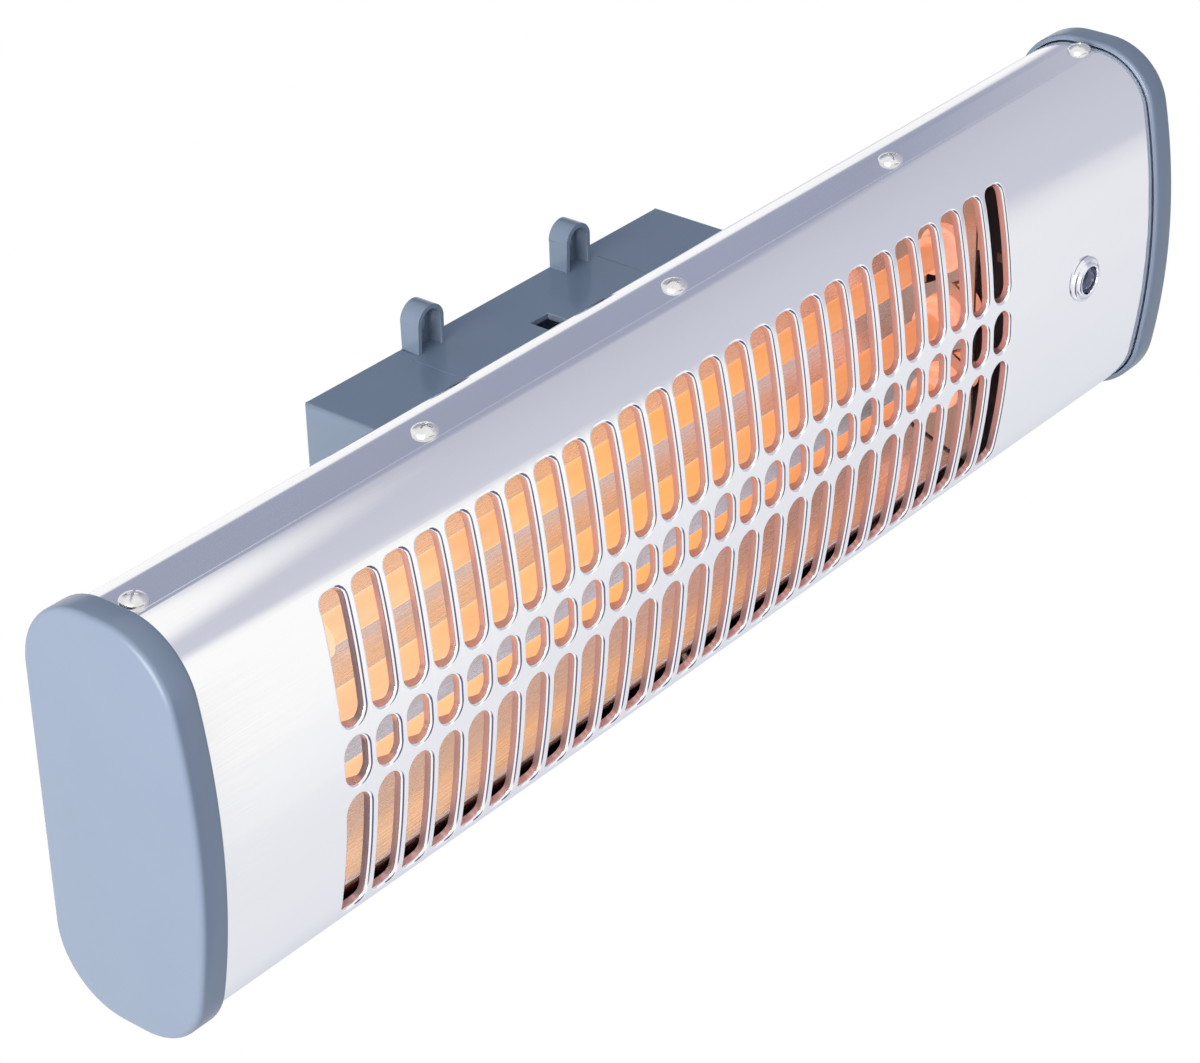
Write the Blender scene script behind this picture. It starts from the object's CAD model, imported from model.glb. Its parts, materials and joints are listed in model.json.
"""An electric bar heater for a bathroom wall, dressed for its picture.

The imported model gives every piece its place. The pieces that show most are remade here: the
punched and bowed front, the moulded end caps, the cover screws, the lamp and the edges of the
wall box. All the others keep their shape and get their finish.
Lengths are in metres: X runs along the heater, Y to the wall and Z up.
"""
import json
import math

import bmesh
import bpy
from mathutils import Matrix, Vector


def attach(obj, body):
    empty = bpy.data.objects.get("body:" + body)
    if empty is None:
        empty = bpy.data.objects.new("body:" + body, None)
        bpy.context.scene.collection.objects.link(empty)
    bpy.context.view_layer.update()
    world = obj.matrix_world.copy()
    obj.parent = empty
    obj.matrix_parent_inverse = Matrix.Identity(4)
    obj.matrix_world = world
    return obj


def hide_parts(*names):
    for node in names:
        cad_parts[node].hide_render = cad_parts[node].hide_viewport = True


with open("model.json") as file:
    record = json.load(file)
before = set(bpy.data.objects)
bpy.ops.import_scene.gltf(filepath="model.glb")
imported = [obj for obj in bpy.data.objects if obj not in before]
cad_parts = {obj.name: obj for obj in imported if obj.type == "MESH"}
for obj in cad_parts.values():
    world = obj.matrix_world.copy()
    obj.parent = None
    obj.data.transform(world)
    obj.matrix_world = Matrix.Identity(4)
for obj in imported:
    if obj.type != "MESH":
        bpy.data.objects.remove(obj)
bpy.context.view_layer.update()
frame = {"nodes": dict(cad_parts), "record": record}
nodes = frame["nodes"]
MM = 0.001

# How near two places have to be to count as one, and to count as the same row
SAME = 0.01 * MM
NEAR = 0.1 * MM

# Shading: edges softer than this angle in degrees are smoothed, and how much broad faces count
SOFT_ANGLE = 40
BROAD_FACE_WEIGHT = 80

# The body's outline seen from the end, and half its length
WALL_GAP = 43 * MM
CAP_DEPTH = 56 * MM
HALF_HEIGHT = 61 * MM
CORNER_R = 22 * MM
FRONT_R = 220 * MM
HALF_LENGTH = 225 * MM
SHEET_STEP = 2 * MM
SHEET_TOP = HALF_HEIGHT - SHEET_STEP
CORNER_Z = HALF_HEIGHT - CORNER_R
BACK_CORNER_Y = -WALL_GAP - CORNER_R
FRONT_Y = -WALL_GAP - CAP_DEPTH
FRONT_CENTRE_Y = FRONT_Y + FRONT_R
FRONT_CORNER_Y = FRONT_CENTRE_Y - math.sqrt((FRONT_R - CORNER_R) ** 2 - CORNER_Z ** 2)
FRONT_ANGLE = math.asin(CORNER_Z / (FRONT_R - CORNER_R))

# The camera, fitted to the photograph
AZIMUTH = math.radians(-50.62)
ELEVATION = math.radians(29.83)
ROLL = math.radians(-1.28)
AIM = Vector((5.7, -43, -21)) * MM
DISTANCE = 1.0443
LENS = 105.73
SENSOR_W = 36
SHIFT = (-0.0158, -0.0278)


def add_camera():
    """Camera at the photograph's viewing angle, looking at a point near the middle."""
    back = Vector((math.sin(AZIMUTH) * math.cos(ELEVATION),
                   -math.cos(AZIMUTH) * math.cos(ELEVATION),
                   math.sin(ELEVATION)))
    level = Vector((math.cos(AZIMUTH), math.sin(AZIMUTH), 0))
    upright = back.cross(level)
    right = math.cos(ROLL) * level + math.sin(ROLL) * upright
    up = math.cos(ROLL) * upright - math.sin(ROLL) * level
    data = bpy.data.cameras.new("camera")
    data.sensor_width = SENSOR_W
    data.lens = LENS
    data.shift_x, data.shift_y = SHIFT
    camera = bpy.data.objects.new("camera", data)
    bpy.context.scene.collection.objects.link(camera)
    turn = Matrix((right, up, back)).transposed().to_4x4()
    camera.matrix_world = Matrix.Translation(AIM + back * DISTANCE) @ turn
    bpy.context.scene.camera = camera


add_camera()


# Modelling by hand

def deselect():
    bpy.ops.object.select_all(action="DESELECT")


def take(piece):
    deselect()
    piece.select_set(True)
    bpy.context.view_layer.objects.active = piece


def named(name):
    """Names the primitive that was just added, and puts its place into its mesh."""
    piece = bpy.context.object
    piece.name = name
    piece.data.name = name
    bpy.ops.object.transform_apply(location=True, rotation=True, scale=True)
    return piece


def plane(name, x, z):
    """Upright plane that faces the front. Each of x and z is a low and a high end."""
    deselect()
    bpy.ops.mesh.primitive_plane_add(size=1, rotation=(math.radians(90), 0, 0))
    piece = named(name)
    bpy.ops.object.mode_set(mode="EDIT")
    bpy.ops.mesh.select_all(action="SELECT")
    bpy.ops.transform.resize(value=(x[1] - x[0], 1, z[1] - z[0]), center_override=(0, 0, 0))
    bpy.ops.transform.translate(value=((x[0] + x[1]) / 2, 0, (z[0] + z[1]) / 2))
    return piece


def pick(piece, kind, test):
    """Selects the vertices, edges or faces whose middle passes a test."""
    bpy.ops.mesh.select_mode(type=kind)
    bpy.ops.mesh.select_all(action="DESELECT")
    mesh = bmesh.from_edit_mesh(piece.data)
    if kind == "VERT":
        chosen = [v for v in mesh.verts if test(v.co)]
    elif kind == "EDGE":
        chosen = [e for e in mesh.edges if test((e.verts[0].co + e.verts[1].co) / 2)]
    else:
        chosen = [f for f in mesh.faces if test(f.calc_center_median())]
    for part in chosen:
        part.select_set(True)
    bmesh.update_edit_mesh(piece.data)


def pick_border(piece, test):
    """Selects the open edges whose middle passes a test."""
    bpy.ops.mesh.select_mode(type="EDGE")
    bpy.ops.mesh.select_all(action="DESELECT")
    mesh = bmesh.from_edit_mesh(piece.data)
    for edge in mesh.edges:
        if edge.is_boundary and test((edge.verts[0].co + edge.verts[1].co) / 2):
            edge.select_set(True)
    bmesh.update_edit_mesh(piece.data)


def pull(x, y, z):
    """Extrudes what is selected and moves it."""
    bpy.ops.mesh.extrude_region_move(TRANSFORM_OT_translate={"value": (x, y, z)})


def merge():
    """Joins vertices that lie in one place."""
    bpy.ops.mesh.select_all(action="SELECT")
    bpy.ops.mesh.remove_doubles(threshold=SAME)


def point_outwards():
    bpy.ops.mesh.select_all(action="SELECT")
    bpy.ops.mesh.normals_make_consistent(inside=False)


def quarter_steps(count):
    """Start and end angles of the steps that make up a quarter turn."""
    return [(math.pi / 2 * i / count, math.pi / 2 * (i + 1) / count) for i in range(count)]


def smooth_shading(piece, angle):
    """Smooths the shading across edges softer than an angle in degrees."""
    take(piece)
    bpy.ops.object.shade_smooth_by_angle(angle=math.radians(angle))


def apply_modifier(piece, kind, **settings):
    take(piece)
    modifier = piece.modifiers.new(kind.lower(), kind)
    for key, value in settings.items():
        setattr(modifier, key, value)
    bpy.ops.object.modifier_apply(modifier=modifier.name)


def even_shading(piece):
    """Lets the broad faces rule the shading, so that flat ones look flat beside rounds."""
    apply_modifier(piece, "WEIGHTED_NORMAL", keep_sharp=True, weight=BROAD_FACE_WEIGHT)


def join(pieces, name):
    deselect()
    for piece in pieces:
        piece.select_set(True)
    bpy.context.view_layer.objects.active = pieces[0]
    bpy.ops.object.join()
    pieces[0].name = name
    pieces[0].data.name = name
    return pieces[0]


def copy_of(piece, name, matrix):
    """Copy with its own mesh, placed by a matrix that goes into the mesh."""
    mesh = piece.data.copy()
    mesh.transform(matrix)
    other = bpy.data.objects.new(name, mesh)
    bpy.context.scene.collection.objects.link(other)
    return other


def fit(piece, body, slot, node):
    """Puts a finished piece on its body, with its finish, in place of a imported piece."""
    piece.data.materials.clear()
    piece.data.materials.append(FINISHES[slot])
    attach(piece, body)
    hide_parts(node)


# Finishes

TINT_ATTRIBUTE = "heat_tint"
GLOW_X = (-150 * MM, 130 * MM)
CERAMIC_GLOW_X = (-166 * MM, -158 * MM)


def new_material(name):
    material = bpy.data.materials.new(name)
    material.use_nodes = True
    tree = material.node_tree
    return material, tree, tree.nodes["Principled BSDF"]


def grain(tree, scale, stretch=(1, 1, 1), detail=3):
    """Noise over the object's own coordinates."""
    place = tree.nodes.new("ShaderNodeTexCoord")
    turn = tree.nodes.new("ShaderNodeMapping")
    noise = tree.nodes.new("ShaderNodeTexNoise")
    turn.inputs["Scale"].default_value = stretch
    noise.inputs["Scale"].default_value = scale
    noise.inputs["Detail"].default_value = detail
    tree.links.new(place.outputs["Object"], turn.inputs["Vector"])
    tree.links.new(turn.outputs["Vector"], noise.inputs["Vector"])
    return noise.outputs["Fac"]


def spread(tree, value, low, high):
    """Maps a noise to the range from low to high."""
    ramp = tree.nodes.new("ShaderNodeMapRange")
    ramp.inputs["From Min"].default_value = 0.3
    ramp.inputs["From Max"].default_value = 0.7
    ramp.inputs["To Min"].default_value = low
    ramp.inputs["To Max"].default_value = high
    tree.links.new(value, ramp.inputs["Value"])
    return ramp.outputs["Result"]


def tones(tree, value, dark, light):
    """Mixes two colours by a noise."""
    ramp = tree.nodes.new("ShaderNodeValToRGB")
    ramp.color_ramp.elements[0].position = 0.3
    ramp.color_ramp.elements[1].position = 0.7
    ramp.color_ramp.elements[0].color = (*dark, 1)
    ramp.color_ramp.elements[1].color = (*light, 1)
    tree.links.new(value, ramp.inputs["Fac"])
    return ramp.outputs["Color"]


def bumps(tree, shader, value, strength, depth):
    """Small relief in a surface, from a noise."""
    bump = tree.nodes.new("ShaderNodeBump")
    bump.inputs["Strength"].default_value = strength
    bump.inputs["Distance"].default_value = depth
    tree.links.new(value, bump.inputs["Height"])
    tree.links.new(bump.outputs["Normal"], shader.inputs["Normal"])


def rolled_metal(name, dark, light, smooth, rough, relief=0.25):
    """Bright sheet with the fine lines of the rolling mill along it."""
    material, tree, shader = new_material(name)
    shader.inputs["Metallic"].default_value = 1
    lines = grain(tree, 2600, (0.02, 1, 1), 2)
    clouds = grain(tree, 28, (0.3, 1, 1), 3)
    tree.links.new(tones(tree, clouds, dark, light), shader.inputs["Base Color"])
    tree.links.new(spread(tree, lines, smooth, rough), shader.inputs["Roughness"])
    bumps(tree, shader, lines, relief, 0.01 * MM)
    return material


def heat_tinted(material, tint, dullness, rough):
    """Dulls and tints a metal where the mesh says so, as heat does near the tubes."""
    tree = material.node_tree
    shader = tree.nodes["Principled BSDF"]
    where = tree.nodes.new("ShaderNodeAttribute")
    where.attribute_name = TINT_ATTRIBUTE
    colour = tree.nodes.new("ShaderNodeMix")
    colour.data_type = "RGBA"
    colour.inputs["B"].default_value = (*tint, 1)
    metal = tree.nodes.new("ShaderNodeMapRange")
    metal.inputs["To Min"].default_value = 1
    metal.inputs["To Max"].default_value = 1 - dullness
    gloss = tree.nodes.new("ShaderNodeMix")
    gloss.inputs["B"].default_value = rough
    links = tree.links
    links.new(shader.inputs["Base Color"].links[0].from_socket, colour.inputs["A"])
    links.new(shader.inputs["Roughness"].links[0].from_socket, gloss.inputs["A"])
    for mix in (colour, gloss):
        links.new(where.outputs["Fac"], mix.inputs["Factor"])
    links.new(where.outputs["Fac"], metal.inputs["Value"])
    links.new(colour.outputs["Result"], shader.inputs["Base Color"])
    links.new(gloss.outputs["Result"], shader.inputs["Roughness"])
    links.new(metal.outputs["Result"], shader.inputs["Metallic"])
    return material


def plated_metal(name, dark, light, smooth, rough):
    """Small plated or turned metal, faintly mottled."""
    material, tree, shader = new_material(name)
    shader.inputs["Metallic"].default_value = 1
    spots = grain(tree, 420, detail=4)
    tree.links.new(tones(tree, spots, dark, light), shader.inputs["Base Color"])
    tree.links.new(spread(tree, spots, smooth, rough), shader.inputs["Roughness"])
    bumps(tree, shader, grain(tree, 1800, detail=2), 0.2, 0.02 * MM)
    return material


def moulding(name, dark, light, smooth, rough, relief=0.15, fine=1500):
    """Moulded plastic, rubber or ceramic: nearly even, with a fine skin."""
    material, tree, shader = new_material(name)
    clouds = grain(tree, 40, detail=4)
    tree.links.new(tones(tree, clouds, dark, light), shader.inputs["Base Color"])
    tree.links.new(spread(tree, grain(tree, 160, detail=3), smooth, rough), shader.inputs["Roughness"])
    bumps(tree, shader, grain(tree, fine, detail=3), relief, 0.03 * MM)
    return material


def along_body(tree, low, high):
    """Goes from 0 to 1 between two places along the heater."""
    place = tree.nodes.new("ShaderNodeTexCoord")
    split = tree.nodes.new("ShaderNodeSeparateXYZ")
    share = tree.nodes.new("ShaderNodeMapRange")
    share.inputs["From Min"].default_value = low
    share.inputs["From Max"].default_value = high
    tree.links.new(place.outputs["Object"], split.inputs[0])
    tree.links.new(split.outputs["X"], share.inputs["Value"])
    return share.outputs["Result"]


def heat_colours(tree):
    """Colours of the glow: pale at the left, orange in the middle and redder to the right."""
    heat = tree.nodes.new("ShaderNodeValToRGB")
    heat.color_ramp.elements[0].color = (0.93, 0.54, 0.30, 1)
    heat.color_ramp.elements[1].color = (0.66, 0.20, 0.10, 1)
    middle = heat.color_ramp.elements.new(0.45)
    middle.color = (0.94, 0.42, 0.12, 1)
    tree.links.new(along_body(tree, *GLOW_X), heat.inputs["Fac"])
    return heat.outputs["Color"]


def glowing_quartz():
    """Milky quartz lit from inside, a little uneven along the tube."""
    material, tree, shader = new_material("glowing_quartz")
    uneven = grain(tree, 60, (0.5, 1, 1), 4)
    shader.inputs["Base Color"].default_value = (0.45, 0.25, 0.12, 1)
    tree.links.new(heat_colours(tree), shader.inputs["Emission Color"])
    tree.links.new(spread(tree, uneven, 0.86, 1.04), shader.inputs["Emission Strength"])
    shader.inputs["Roughness"].default_value = 0.22
    bumps(tree, shader, grain(tree, 500, (0.1, 1, 1), 2), 0.2, 0.05 * MM)
    return material


def lit_ceramic():
    """Steatite, which takes in the tubes' glow where it holds them."""
    material = moulding("steatite", (0.80, 0.74, 0.66), (0.88, 0.83, 0.76), 0.50, 0.65, 0.3, 900)
    tree = material.node_tree
    shader = tree.nodes["Principled BSDF"]
    tree.links.new(heat_colours(tree), shader.inputs["Emission Color"])
    tree.links.new(along_body(tree, *CERAMIC_GLOW_X), shader.inputs["Emission Strength"])
    return material


def glowing_wire():
    """Resistance wire at red heat."""
    material, tree, shader = new_material("glowing_wire")
    tree.links.new(tones(tree, grain(tree, 300), (1.0, 0.30, 0.04), (1.0, 0.45, 0.10)),
                   shader.inputs["Emission Color"])
    shader.inputs["Base Color"].default_value = (0.5, 0.3, 0.2, 1)
    shader.inputs["Emission Strength"].default_value = 1.5
    return material


def clear_lens():
    """Smoky lens, dark while its lamp is off."""
    material, tree, shader = new_material("clear_lens")
    shader.inputs["Base Color"].default_value = (0.24, 0.27, 0.40, 1)
    shader.inputs["Transmission Weight"].default_value = 0.3
    shader.inputs["IOR"].default_value = 1.49
    tree.links.new(spread(tree, grain(tree, 300), 0.04, 0.14), shader.inputs["Roughness"])
    bumps(tree, shader, grain(tree, 900, detail=1), 0.15, 0.05 * MM)
    return material


# The finish of each material slot
FINISHES = {
    "cover_steel": heat_tinted(
        rolled_metal("front_steel", (0.95, 0.95, 0.955), (0.975, 0.975, 0.98), 0.07, 0.12, 0.06),
        (0.78, 0.52, 0.52), 0.45, 0.28),
    "shell_steel": rolled_metal(
        "shell_steel", (0.88, 0.88, 0.90), (0.93, 0.93, 0.95), 0.07, 0.14, 0.1),
    "reflector_metal": rolled_metal(
        "reflector_sheet", (0.86, 0.91, 0.98), (0.91, 0.95, 1.0), 0.22, 0.36),
    "holder_steel": rolled_metal(
        "holder_sheet", (0.60, 0.58, 0.57), (0.70, 0.68, 0.66), 0.25, 0.40),
    "screw_metal": plated_metal(
        "bright_zinc", (0.72, 0.71, 0.71), (0.86, 0.85, 0.85), 0.18, 0.34),
    "bezel_chrome": plated_metal(
        "bezel_chrome", (0.80, 0.81, 0.87), (0.88, 0.89, 0.93), 0.05, 0.12),
    "terminal_brass": plated_metal(
        "brass", (0.70, 0.52, 0.22), (0.80, 0.62, 0.30), 0.25, 0.40),
    "cap_plastic": moulding(
        "cap_plastic", (0.272, 0.328, 0.432), (0.282, 0.338, 0.442), 0.24, 0.27, 0.02),
    "box_plastic": moulding(
        "box_plastic", (0.245, 0.305, 0.400), (0.255, 0.315, 0.410), 0.14, 0.17, 0.04),
    "insulator_white": moulding(
        "white_insulator", (0.78, 0.77, 0.73), (0.84, 0.83, 0.80), 0.40, 0.50),
    "insulator_black": moulding(
        "black_insulator", (0.020, 0.020, 0.022), (0.032, 0.032, 0.035), 0.40, 0.55),
    "grommet_rubber": moulding(
        "grommet_rubber", (0.018, 0.018, 0.018), (0.030, 0.030, 0.030), 0.65, 0.80),
    "ceramic": lit_ceramic(),
    "lead_red": moulding(
        "red_sleeve", (0.42, 0.05, 0.04), (0.52, 0.08, 0.06), 0.45, 0.60, 0.4, 2400),
    "lead_blue": moulding(
        "blue_sleeve", (0.05, 0.12, 0.40), (0.08, 0.16, 0.48), 0.45, 0.60, 0.4, 2400),
    "quartz": glowing_quartz(),
    "coil_wire": glowing_wire(),
    "lens_clear": clear_lens(),
}


def finish_packed_pieces():
    """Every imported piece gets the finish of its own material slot."""
    for part in frame["record"]["subparts"]:
        mesh = nodes[part["node"]].data
        mesh.materials.clear()
        mesh.materials.append(FINISHES[part["material_slot"]])


finish_packed_pieces()


# The front cover, a flat blank that is punched, rolled and then bowed to the body's outline

# Columns and rows of slots
SLOT_COUNT = 26
SLOT_PITCH = 11.76 * MM
SLOT_W = 8.6 * MM
GRILLE_X = -19 * MM
GRILLE_HALF = SLOT_COUNT / 2 * SLOT_PITCH
OVAL_HALF = 7 * MM
INNER_Z = 10.5 * MM
OUTER_Z = 48 * MM
ROWS_MARGIN = 1 * MM

# Corners of a slot. The spare keeps the two arcs of a round end from meeting.
OUTER_CORNER_R = 3 * MM
ARC_SPARE = 0.02 * MM
END_STEPS = 8
CORNER_STEPS = 5
SLOT_CUTS = 8
OVAL_CUTS = 2

# The flange rolled in round a slot, and the depth from which heat has tinted it
RIM_RING = 0.1 * MM
RIM_R = 0.9 * MM
RIM_STEPS = 5
ROLL_W = RIM_RING + RIM_R
FLANGE_DEPTH = 2.6 * MM
TINT_FROM = 0.62 * MM

# The sheet, its bends, and the step down to the laps as shares of its height, out and down
BLANK_T = 0.6 * MM
ARC_R = FRONT_R - SHEET_STEP
BEND_R = CORNER_R - SHEET_STEP
ARC_RUN = ARC_R * FRONT_ANGLE
BEND_RUN = BEND_R * (math.pi / 2 - FRONT_ANGLE)
BEND_CUT = 1.1 * MM
STEP_BEFORE_BEND_END = 1 * MM
STEP_RUN = ARC_RUN + BEND_RUN - STEP_BEFORE_BEND_END
LAP_STEP = 0.9 * MM
LAP_STEP_SHARES = [(0.3, 0.2), (0.3, 0.6), (0.3, 0.2)]
LAP_W = 7.4 * MM
SHEET_END = HALF_LENGTH - 2.5 * MM
MARGIN_SHARES = [0.1, 0.3, 0.3, 0.3]

# The pilot lamp's hole
LAMP_X = 175 * MM
LAMP_HOLE_R = 6.05 * MM
LAMP_SIDES = 48
DRILL_L = 20 * BLANK_T


def run_at_height(z):
    """Length round the outline, from the middle of the front to a height."""
    touch = ARC_R * math.sin(FRONT_ANGLE)
    if z < touch:
        return ARC_R * math.asin(z / ARC_R)
    return ARC_RUN + BEND_R * (math.asin((z - CORNER_Z) / BEND_R) - FRONT_ANGLE)


ROWS_END = run_at_height(OUTER_Z) + ROLL_W + ROWS_MARGIN


def bowed(point):
    """Place on the bowed front of a point in the flat blank."""
    run, side = abs(point.z), math.copysign(1, point.z)
    if run < ARC_RUN:
        angle = run / ARC_R
        y, z = FRONT_CENTRE_Y - ARC_R * math.cos(angle), ARC_R * math.sin(angle)
    elif run < ARC_RUN + BEND_RUN:
        angle = FRONT_ANGLE + (run - ARC_RUN) / BEND_R
        y, z = FRONT_CORNER_Y - BEND_R * math.cos(angle), CORNER_Z + BEND_R * math.sin(angle)
    else:
        angle = math.pi / 2
        y, z = FRONT_CORNER_Y + run - ARC_RUN - BEND_RUN, SHEET_TOP
    y += point.y * math.cos(angle)
    z -= point.y * math.sin(angle)
    return Vector((point.x, y, side * z))


def round_corners(piece, z, r, steps):
    """Rounds the two corners of a plane at one end."""
    pick(piece, "VERT", lambda p: abs(p.z - z) < NEAR)
    bpy.ops.mesh.bevel(offset=r, segments=steps, affect="VERTICES", profile=0.5)


def punched_slot(name, z, slot, corners, cuts):
    """One slot in its rectangle of the blank.

    z is the low and high end of the rectangle, slot that of the opening, corners the radius
    and number of steps of the corners at each end, and cuts how many cuts cross each side.
    """
    half = SLOT_W / 2 + ROLL_W
    low, high = slot[0] - ROLL_W, slot[1] + ROLL_W
    piece = plane(name, (-half, half), (low, high))
    for end, (r, steps) in zip((low, high), corners):
        round_corners(piece, end, min(r + ROLL_W, half - ARC_SPARE), steps)
    bpy.ops.mesh.select_all(action="SELECT")
    bpy.ops.mesh.delete(type="ONLY_FACE")
    straight = (low + corners[0][0] + ROLL_W, high - corners[1][0] - ROLL_W)
    middle = (straight[0] + straight[1]) / 2
    pick(piece, "EDGE", lambda p: abs(abs(p.x) - half) < SAME and abs(p.z - middle) < NEAR)
    bpy.ops.mesh.subdivide(number_cuts=cuts)
    spread_web(piece, z, straight, half)
    pick_border(piece, lambda p: is_on_opening(p, z, (low, high), half))
    bpy.ops.mesh.edge_face_add()
    bpy.ops.mesh.inset(thickness=RIM_RING, depth=0)
    for before, after in quarter_steps(RIM_STEPS):
        bpy.ops.mesh.inset(thickness=RIM_R * (math.sin(after) - math.sin(before)),
                           depth=RIM_R * (math.cos(after) - math.cos(before)))
    pull(0, FLANGE_DEPTH - RIM_R, 0)
    bpy.ops.mesh.delete(type="FACE")
    bpy.ops.object.mode_set(mode="OBJECT")
    return piece


def spread_web(piece, z, straight, half):
    """Draws the opening's edge out flat to the edges of its rectangle."""
    bpy.ops.mesh.select_all(action="SELECT")
    pull(0, 0, 0)
    bpy.ops.transform.resize(value=(SLOT_PITCH / 2 / half, 1, 1), center_override=(0, 0, 0))
    mesh = bmesh.from_edit_mesh(piece.data)
    moved = [v for v in mesh.verts if v.select]
    for vertex in moved:
        if vertex.co.z > straight[1] - NEAR:
            vertex.co.z = z[1]
        elif vertex.co.z < straight[0] + NEAR:
            vertex.co.z = z[0]
    bmesh.update_edit_mesh(piece.data)


def is_on_opening(point, z, ends, half):
    """Whether an open edge lies round the opening, and not round the rectangle."""
    within = abs(point.x) < half + SAME and ends[0] - SAME < point.z < ends[1] + SAME
    at_end = abs(point.z - z[0]) < SAME or abs(point.z - z[1]) < SAME
    return within and not at_end and abs(point.x) < SLOT_PITCH / 2 - NEAR


def grille():
    """All the slots of the blank, in their rows and columns."""
    end_r = SLOT_W / 2
    oval_end = run_at_height(OVAL_HALF)
    slot_low, slot_high = run_at_height(INNER_Z), run_at_height(OUTER_Z)
    between = (oval_end + slot_low) / 2
    inner, outer = (end_r, END_STEPS), (OUTER_CORNER_R, CORNER_STEPS)
    column = [("oval", (-between, between), (-oval_end, oval_end), [inner, inner], OVAL_CUTS),
              ("upper_slot", (between, ROWS_END), (slot_low, slot_high), [inner, outer], SLOT_CUTS),
              ("lower_slot", (-ROWS_END, -between), (-slot_high, -slot_low), [outer, inner], SLOT_CUTS)]
    sheet = join([punched_slot(*slot) for slot in column], "front_cover_sheet")
    bpy.ops.object.mode_set(mode="EDIT")
    bpy.ops.mesh.select_all(action="SELECT")
    bpy.ops.transform.translate(value=(GRILLE_X - (SLOT_COUNT - 1) / 2 * SLOT_PITCH, 0, 0))
    merge()
    bpy.ops.object.mode_set(mode="OBJECT")
    apply_modifier(sheet, "ARRAY", count=SLOT_COUNT, use_relative_offset=False,
                   use_constant_offset=True, constant_offset_displace=(SLOT_PITCH, 0, 0),
                   use_merge_vertices=True, merge_threshold=SAME)
    return sheet


def add_margins(sheet):
    """Plain sheet round the grille, with the step down to the laps above and below."""
    for side in (-1, 1):
        pick_border(sheet, lambda p: abs(p.z - side * ROWS_END) < SAME)
        pull(0, 0, side * (STEP_RUN - ROWS_END))
        for share_out, share_down in LAP_STEP_SHARES:
            pull(0, share_down * LAP_STEP, side * share_out * LAP_STEP)
        pull(0, 0, side * LAP_W)
    for side in (-1, 1):
        edge = GRILLE_X + side * GRILLE_HALF
        pick_border(sheet, lambda p: abs(p.x - edge) < SAME)
        for share in MARGIN_SHARES:
            pull(share * (side * SHEET_END - edge), 0, 0)
    merge()
    bpy.ops.mesh.normals_make_consistent(inside=False)
    faces = bmesh.from_edit_mesh(sheet.data).faces
    if sum(face.normal.y * face.calc_area() for face in faces) > 0:
        bpy.ops.mesh.flip_normals()


def cut_bends():
    """Straight cuts along the bends, so that they turn in small even steps."""
    cut = ARC_RUN
    while cut < STEP_RUN:
        for side in (-1, 1):
            bpy.ops.mesh.select_all(action="SELECT")
            bpy.ops.mesh.bisect(plane_co=(0, 0, side * cut), plane_no=(0, 0, 1))
        cut += BEND_CUT


def drill_lamp_hole(sheet):
    deselect()
    bpy.ops.mesh.primitive_cylinder_add(vertices=LAMP_SIDES, radius=LAMP_HOLE_R, depth=DRILL_L,
                                        location=(LAMP_X, 0, 0), rotation=(math.radians(90), 0, 0))
    drill = named("drill")
    apply_modifier(sheet, "BOOLEAN", object=drill, operation="DIFFERENCE", solver="EXACT")
    bpy.data.objects.remove(drill)


def tint_and_bow(sheet):
    """Marks the flanges for their heat tint, and bows the flat sheet."""
    tint = sheet.data.attributes.new(TINT_ATTRIBUTE, "FLOAT", "POINT")
    for vertex, share in zip(sheet.data.vertices, tint.data):
        if abs(vertex.co.x - GRILLE_X) < GRILLE_HALF:
            share.value = min(1, max(0, (vertex.co.y - TINT_FROM) / (RIM_R - TINT_FROM)))
        vertex.co = bowed(vertex.co)


def front_cover():
    """The cover of one sheet.

    In the blank, X runs along the heater, Y is the depth behind the front face, and Z runs
    round the outline from the middle of the front.
    """
    sheet = grille()
    bpy.ops.object.mode_set(mode="EDIT")
    add_margins(sheet)
    cut_bends()
    bpy.ops.object.mode_set(mode="OBJECT")
    apply_modifier(sheet, "SOLIDIFY", thickness=BLANK_T, offset=-1, use_even_offset=True)
    drill_lamp_hole(sheet)
    tint_and_bow(sheet)
    smooth_shading(sheet, SOFT_ANGLE)
    even_shading(sheet)
    fit(sheet, "heater", "cover_steel", "front_cover")


front_cover()


# End caps

CAP_W = 9.5 * MM
CAP_WALL = 1.6 * MM
LIP_R = 1.2 * MM
CAP_FACE = 2.2 * MM
CAP_ROUND = 1.8 * MM
ROUND_STEPS = 5
CAP_CORNER_STEPS = 14
CAP_FRONT_STEPS = 22


def outline_points():
    """Points round the body's outline in Y and Z, closer together at the four corners."""
    bend = math.pi / 2 - FRONT_ANGLE
    front = [(2 * i / CAP_FRONT_STEPS - 1) * FRONT_ANGLE for i in range(CAP_FRONT_STEPS)]
    turns = [i / CAP_CORNER_STEPS for i in range(CAP_CORNER_STEPS + 1)]
    points = [(FRONT_CENTRE_Y - FRONT_R * math.cos(a), FRONT_R * math.sin(a)) for a in front]
    points += [corner_point(FRONT_CORNER_Y, -1, 1, FRONT_ANGLE + bend * turn) for turn in turns]
    points += [corner_point(BACK_CORNER_Y, 1, 1, math.pi / 2 * (1 - turn)) for turn in turns]
    points += [corner_point(BACK_CORNER_Y, 1, -1, math.pi / 2 * turn) for turn in turns]
    points += [corner_point(FRONT_CORNER_Y, -1, -1, FRONT_ANGLE + bend * (1 - turn)) for turn in turns[:-1]]
    return points


def corner_point(centre_y, back, up, angle):
    """Point of a corner's arc. back and up say to which side it turns, as 1 or -1."""
    return (centre_y + back * CORNER_R * math.cos(angle), up * (CORNER_Z + CORNER_R * math.sin(angle)))


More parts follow.
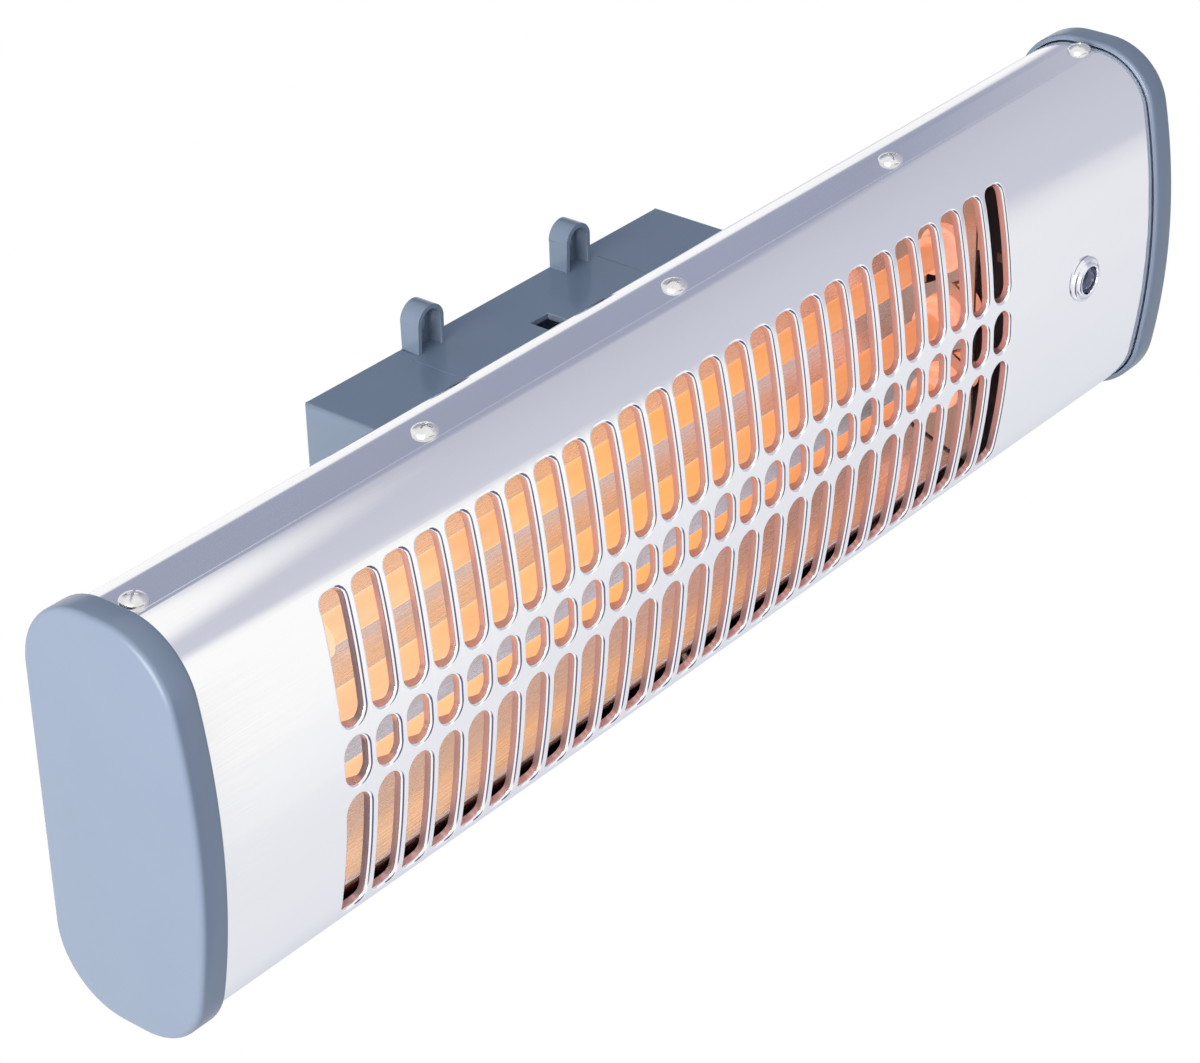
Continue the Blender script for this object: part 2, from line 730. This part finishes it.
def end_cap(name, side, node):
    """Moulded cap: a rounded slab with a round lip, hollowed to slip over the sheets."""
    points = outline_points()
    start_x = side * (HALF_LENGTH - CAP_W + LIP_R)
    deselect()
    bpy.ops.mesh.primitive_circle_add(vertices=len(points), radius=CORNER_R, fill_type="NGON")
    piece = named(name)
    for vertex, (y, z) in zip(piece.data.vertices, points):
        vertex.co = (start_x, y, z)
    bpy.ops.object.mode_set(mode="EDIT")
    bpy.ops.mesh.select_all(action="SELECT")
    pull(side * (CAP_W - CAP_ROUND - LIP_R), 0, 0)
    point_outwards()
    for end, r in ((side * (HALF_LENGTH - CAP_ROUND), CAP_ROUND), (start_x, LIP_R)):
        pick(piece, "FACE", lambda p: abs(p.x - end) < NEAR)
        for before, after in quarter_steps(ROUND_STEPS):
            bpy.ops.mesh.inset(thickness=r * (math.cos(before) - math.cos(after)),
                               depth=r * (math.sin(after) - math.sin(before)))

    # The face inside the lip is still selected, and goes in from there
    bpy.ops.mesh.inset(thickness=CAP_WALL - LIP_R)
    pull(side * (CAP_W - CAP_FACE), 0, 0)
    point_outwards()
    bpy.ops.object.mode_set(mode="OBJECT")
    smooth_shading(piece, SOFT_ANGLE)
    fit(piece, "heater", "cap_plastic", node)


end_cap("end_cap_moulding_left", -1, "end_cap_left")
end_cap("end_cap_moulding_right", 1, "end_cap_right")


# Wall box

EDGE_R = 0.3 * MM
EDGE_STEPS = 2
LONG_EDGE = 5 * MM
SHARP_EDGE = math.radians(50)
FLAT = math.radians(1)
BOX_SOFT_ANGLE = 30


def box_moulding(name, node):
    """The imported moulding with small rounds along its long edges, as it leaves the mould."""
    piece = copy_of(nodes[node], name, Matrix.Identity(4))
    take(piece)
    bpy.ops.object.mode_set(mode="EDIT")
    merge()
    bpy.ops.mesh.dissolve_limited(angle_limit=FLAT)
    bpy.ops.mesh.select_mode(type="EDGE")
    bpy.ops.mesh.select_all(action="DESELECT")
    mesh = bmesh.from_edit_mesh(piece.data)
    for edge in mesh.edges:
        if edge.calc_length() > LONG_EDGE and edge.calc_face_angle(0) > SHARP_EDGE:
            edge.select_set(True)
    bmesh.update_edit_mesh(piece.data)
    bpy.ops.mesh.bevel(offset=EDGE_R, segments=EDGE_STEPS, affect="EDGES")
    bpy.ops.object.mode_set(mode="OBJECT")
    smooth_shading(piece, BOX_SOFT_ANGLE)
    even_shading(piece)
    fit(piece, "wall_box", "box_plastic", node)


box_moulding("box_middle_moulding", "wall_bracket")
box_moulding("box_left_moulding", "terminal_box")
box_moulding("box_right_moulding", "switch_box")


# Cover screws

HEAD_R = 3.8 * MM
HEAD_H = 2.2 * MM
HEAD_SIDES = 40
RIM_H = 0.22 * HEAD_H
DOME_SHARES = [(0.04, 0.14), (0.07, 0.15), (0.11, 0.15), (0.15, 0.14), (0.18, 0.11), (0.2, 0.07),
               (0.15, 0.02)]
SHANK_R = 1.95 * MM
SHANK_L = 9.5 * MM
DRIVE_W = 0.9 * MM
DRIVE_H = 1.5 * MM
DRIVE_TAPER = (0.8, 0.6, 1)
SLOT_L = 2.3 * HEAD_R
CROSS_L = 1.15 * HEAD_R
SCREW_COUNT = 5
END_SCREW_INSET = 14.3 * MM
SCREW_REACH = HALF_LENGTH - END_SCREW_INSET
SHELL_LIP_Y = -WALL_GAP - 30.8 * MM
SCREW_Y = (BACK_CORNER_Y + SHELL_LIP_Y) / 2
FIRST_TURN = 35
NEXT_TURN = 67


def screw_pattern():
    """Pan-head screw at the origin, standing up, with a slot and a cross in its head."""
    deselect()
    bpy.ops.mesh.primitive_cylinder_add(vertices=HEAD_SIDES, radius=HEAD_R, depth=RIM_H,
                                        location=(0, 0, RIM_H / 2))
    screw = named("screw_pattern")
    bpy.ops.object.mode_set(mode="EDIT")
    pick(screw, "FACE", lambda p: p.z > RIM_H - SAME)
    for inset_share, lift_share in DOME_SHARES:
        bpy.ops.mesh.inset(thickness=inset_share * HEAD_R, depth=lift_share * HEAD_H)
    pick(screw, "FACE", lambda p: p.z < NEAR and p.xy.length < NEAR)
    bpy.ops.mesh.inset(thickness=HEAD_R - SHANK_R)
    pull(0, 0, -SHANK_L)
    bpy.ops.object.mode_set(mode="OBJECT")
    cut_drive(screw, 0, SLOT_L)
    cut_drive(screw, 90, CROSS_L)
    return screw


def cut_drive(screw, angle, length):
    """Cuts one tapered groove for the driver across the head."""
    deselect()
    bpy.ops.mesh.primitive_cube_add(size=1, location=(0, 0, HEAD_H))
    cutter = named("cutter")
    bpy.ops.object.mode_set(mode="EDIT")
    bpy.ops.mesh.select_all(action="SELECT")
    bpy.ops.transform.resize(value=(length, DRIVE_W, DRIVE_H), center_override=(0, 0, HEAD_H))
    pick(cutter, "FACE", lambda p: p.z < HEAD_H - NEAR)
    bpy.ops.transform.resize(value=DRIVE_TAPER, center_override=(0, 0, 0))
    bpy.ops.object.mode_set(mode="OBJECT")
    cutter.data.transform(Matrix.Rotation(math.radians(angle), 4, "Z"))
    apply_modifier(screw, "BOOLEAN", object=cutter, operation="DIFFERENCE", solver="EXACT")
    bpy.data.objects.remove(cutter)


def screw_row(pattern, name, side, node):
    """The screws of one lap, each turned its own way.

    side is 1 for the top lap and -1 for the bottom lap, where they point up.
    """
    row = []
    for i in range(SCREW_COUNT):
        x = (2 * i / (SCREW_COUNT - 1) - 1) * SCREW_REACH
        turn = Matrix.Rotation(math.radians(FIRST_TURN + NEXT_TURN * i), 4, "Z")
        flip = Matrix.Rotation(math.radians(90 * (1 - side)), 4, "X")
        place = Matrix.Translation((x, SCREW_Y, side * SHEET_TOP))
        row.append(copy_of(pattern, f"{name}_{i}", place @ flip @ turn))
    screws = join(row, name)
    smooth_shading(screws, SOFT_ANGLE)
    even_shading(screws)
    fit(screws, "heater", "screw_metal", node)


def cover_screws():
    pattern = screw_pattern()
    screw_row(pattern, "top_screws", 1, "cover_screws_top")
    screw_row(pattern, "bottom_screws", -1, "cover_screws_bottom")
    bpy.data.objects.remove(pattern)


cover_screws()


# Pilot lamp

LAMP_FACE_Y = FRONT_Y + SHEET_STEP

# Radius and height over the sheet, in millimetres, round the section of each turned piece
BEZEL_SECTION = [(7.5, 0), (7.5, 0.6), (7.3, 1.0), (6.9, 1.25), (6.5, 1.3), (6.2, 1.1), (5.95, 1.05),
                 (5.8, 1.3), (5.75, 1.6), (5.6, 1.9), (5.25, 2.12), (4.9, 2.15), (4.65, 2.05),
                 (4.55, 1.8), (4.5, 1.4), (4.5, -4.8), (6.0, -4.8), (6.0, -0.1), (7.5, 0)]
LENS_SECTION = [(0.05, -1.5), (1.6, -1.6), (3.0, -1.9), (4.0, -2.3), (4.45, -2.8), (4.45, -4.8),
                (0.05, -4.8)]


def turned(name, section):
    """Open shell of a turned piece: a circle drawn out through the points of a section."""
    points = [(r * MM, h * MM) for r, h in section]
    deselect()
    bpy.ops.mesh.primitive_circle_add(vertices=LAMP_SIDES, radius=points[0][0],
                                      location=(0, 0, points[0][1]))
    piece = named(name)
    bpy.ops.object.mode_set(mode="EDIT")
    bpy.ops.mesh.select_mode(type="VERT")
    bpy.ops.mesh.select_all(action="SELECT")
    for (r, h), (next_r, next_h) in zip(points, points[1:]):
        pull(0, 0, next_h - h)
        bpy.ops.transform.resize(value=(next_r / r, next_r / r, 1), center_override=(0, 0, next_h))
    point_outwards()
    bpy.ops.object.mode_set(mode="OBJECT")
    return piece


def lamp_piece(name, section, slot, node):
    """A turned piece of the pilot lamp, closed and standing out of the front."""
    piece = turned(name, section)
    upright = Matrix.Rotation(math.radians(90), 4, "X")
    piece.data.transform(Matrix.Translation((LAMP_X, LAMP_FACE_Y, 0)) @ upright)
    bpy.ops.object.mode_set(mode="EDIT")
    merge()
    bpy.ops.mesh.fill_holes(sides=0)
    point_outwards()
    bpy.ops.object.mode_set(mode="OBJECT")
    smooth_shading(piece, SOFT_ANGLE)
    fit(piece, "heater", slot, node)


lamp_piece("lamp_bezel", BEZEL_SECTION, "bezel_chrome", "pilot_bezel")
lamp_piece("lamp_lens", LENS_SECTION, "lens_clear", "pilot_lens")


# The studio: a pale floor, a soft white surround and the cards that the bright metal mirrors

FLOOR_Z = -2.0
FLOOR_W = 8


def light_path_mix(tree, seen, lit):
    """Gives one shader to camera, glossy and transmission rays, and another to the rest."""
    path = tree.nodes.new("ShaderNodeLightPath")
    first = tree.nodes.new("ShaderNodeMath")
    second = tree.nodes.new("ShaderNodeMath")
    first.operation = second.operation = "MAXIMUM"
    tree.links.new(path.outputs["Is Camera Ray"], first.inputs[0])
    tree.links.new(path.outputs["Is Glossy Ray"], first.inputs[1])
    tree.links.new(first.outputs[0], second.inputs[0])
    tree.links.new(path.outputs["Is Transmission Ray"], second.inputs[1])
    mix = tree.nodes.new("ShaderNodeMixShader")
    tree.links.new(second.outputs[0], mix.inputs["Fac"])
    tree.links.new(lit, mix.inputs[1])
    tree.links.new(seen, mix.inputs[2])
    return mix.outputs["Shader"]


def surround():
    """White to look at and to mirror, and a weaker blue-white light on matt surfaces."""
    world = bpy.data.worlds.new("surround")
    bpy.context.scene.world = world
    world.use_nodes = True
    tree = world.node_tree
    tree.nodes.clear()
    seen = tree.nodes.new("ShaderNodeBackground")
    seen.inputs["Color"].default_value = (1, 1, 1, 1)
    lit = tree.nodes.new("ShaderNodeBackground")
    lit.inputs["Color"].default_value = (0.70, 0.84, 1, 1)
    lit.inputs["Strength"].default_value = 0.42
    out = tree.nodes.new("ShaderNodeOutputWorld")
    tree.links.new(light_path_mix(tree, seen.outputs[0], lit.outputs[0]), out.inputs["Surface"])


def soft_edge(tree, axis, fade):
    """Goes from 1 in the middle of a card to 0 at its two edges across one axis."""
    share = tree.nodes.new("ShaderNodeMath")
    share.operation = "ABSOLUTE"
    ramp = tree.nodes.new("ShaderNodeMapRange")
    ramp.interpolation_type = "SMOOTHSTEP"
    ramp.inputs["From Min"].default_value = 0.5 * (1 - fade)
    ramp.inputs["From Max"].default_value = 0.5
    ramp.inputs["To Min"].default_value = 1
    ramp.inputs["To Max"].default_value = 0
    tree.links.new(axis, share.inputs[0])
    tree.links.new(share.outputs[0], ramp.inputs["Value"])
    return ramp.outputs["Result"]


def glow_sheet(name, left, right, fade):
    """Glow from one colour at the card's left edge to another at its right, with soft edges."""
    material = bpy.data.materials.new(name)
    material.use_nodes = True
    tree = material.node_tree
    tree.nodes.clear()
    place = tree.nodes.new("ShaderNodeTexCoord")
    split = tree.nodes.new("ShaderNodeSeparateXYZ")
    shift = tree.nodes.new("ShaderNodeMath")
    shift.operation = "ADD"
    shift.inputs[1].default_value = 0.5
    ramp = tree.nodes.new("ShaderNodeValToRGB")
    ramp.color_ramp.interpolation = "EASE"
    ramp.color_ramp.elements[0].color = (*left, 1)
    ramp.color_ramp.elements[1].color = (*right, 1)
    glow = tree.nodes.new("ShaderNodeEmission")
    clear = tree.nodes.new("ShaderNodeBsdfTransparent")
    cover = tree.nodes.new("ShaderNodeMath")
    cover.operation = "MULTIPLY"
    mix = tree.nodes.new("ShaderNodeMixShader")
    out = tree.nodes.new("ShaderNodeOutputMaterial")
    tree.links.new(place.outputs["Object"], split.inputs[0])
    tree.links.new(split.outputs["X"], shift.inputs[0])
    tree.links.new(shift.outputs[0], ramp.inputs["Fac"])
    tree.links.new(ramp.outputs["Color"], glow.inputs["Color"])
    tree.links.new(soft_edge(tree, split.outputs["X"], fade[0]), cover.inputs[0])
    tree.links.new(soft_edge(tree, split.outputs["Y"], fade[1]), cover.inputs[1])
    tree.links.new(cover.outputs[0], mix.inputs["Fac"])
    tree.links.new(clear.outputs[0], mix.inputs[1])
    tree.links.new(glow.outputs[0], mix.inputs[2])
    tree.links.new(mix.outputs[0], out.inputs["Surface"])
    return material


def floor():
    """Wide pale floor far below, which shows as white."""
    deselect()
    bpy.ops.mesh.primitive_plane_add(size=FLOOR_W, location=(0, 0, FLOOR_Z))
    piece = bpy.context.object
    piece.name = "floor"
    material = bpy.data.materials.new("pale_floor")
    material.use_nodes = True
    tree = material.node_tree
    tree.nodes.clear()
    white = tree.nodes.new("ShaderNodeEmission")
    white.inputs["Strength"].default_value = 1
    matt = tree.nodes.new("ShaderNodeBsdfDiffuse")
    matt.inputs["Color"].default_value = (0.8, 0.8, 0.8, 1)
    out = tree.nodes.new("ShaderNodeOutputMaterial")
    tree.links.new(light_path_mix(tree, white.outputs[0], matt.outputs[0]), out.inputs["Surface"])
    piece.data.materials.append(material)


def flag(name, azimuth, elevation, distance, half_angles, left, right, fade):
    """Card that only bright surfaces mirror. It faces the heater.

    The azimuth runs from the heater's right-hand end towards its front. The half angles are
    how far the card reaches across and up from its middle, and fade the shares of that reach
    over which its edges go soft.
    """
    deselect()
    turn, rise = math.radians(azimuth), math.radians(elevation)
    middle = distance * Vector((math.cos(turn) * math.cos(rise), -math.sin(turn) * math.cos(rise),
                                math.sin(rise)))
    facing = middle.to_track_quat("Z", "Y").to_euler()
    bpy.ops.mesh.primitive_plane_add(size=1, location=middle, rotation=facing)
    card = bpy.context.object
    card.name = name
    across, up = (2 * distance * math.tan(math.radians(angle)) for angle in half_angles)
    card.scale = (across, up, 1)
    card.data.materials.append(glow_sheet(name, left, right, fade))
    card.visible_camera = False
    card.visible_diffuse = False
    card.visible_shadow = False
    card.visible_transmission = False


def soft_box(name, middle, size, power, colour):
    """Square light that faces the heater and isn't seen itself."""
    data = bpy.data.lights.new(name, "AREA")
    data.shape = "SQUARE"
    data.size = size
    data.energy = power
    data.color = colour
    light = bpy.data.objects.new(name, data)
    bpy.context.scene.collection.objects.link(light)
    middle = Vector(middle)
    light.matrix_world = Matrix.Translation(middle) @ middle.to_track_quat("Z", "Y").to_matrix().to_4x4()
    light.visible_camera = False


surround()
floor()
soft_box("left_box", (-1.35, -0.28, 0.3), 1, 19, (1, 0.98, 0.95))
flag("grey_upper", 8, 21, 1.6, (44, 40), (0.60, 0.61, 0.70), (0.51, 0.52, 0.61), (0.22, 0.22))
flag("grey_lower", 0, -45, 1.5, (52, 36), (0.85, 0.86, 0.90), (0.62, 0.64, 0.73), (0.45, 0.3))
flag("dark_front", 88, -25, 1.4, (25, 34), (0.13, 0.11, 0.20), (0.13, 0.11, 0.20), (0.3, 0.3))
flag("dark_ceiling", -55, 31, 1.2, (30, 18), (0.35, 0.375, 0.49), (0.36, 0.38, 0.49), (0.3, 0.3))

view = bpy.context.scene.view_settings
view.view_transform = "Standard"
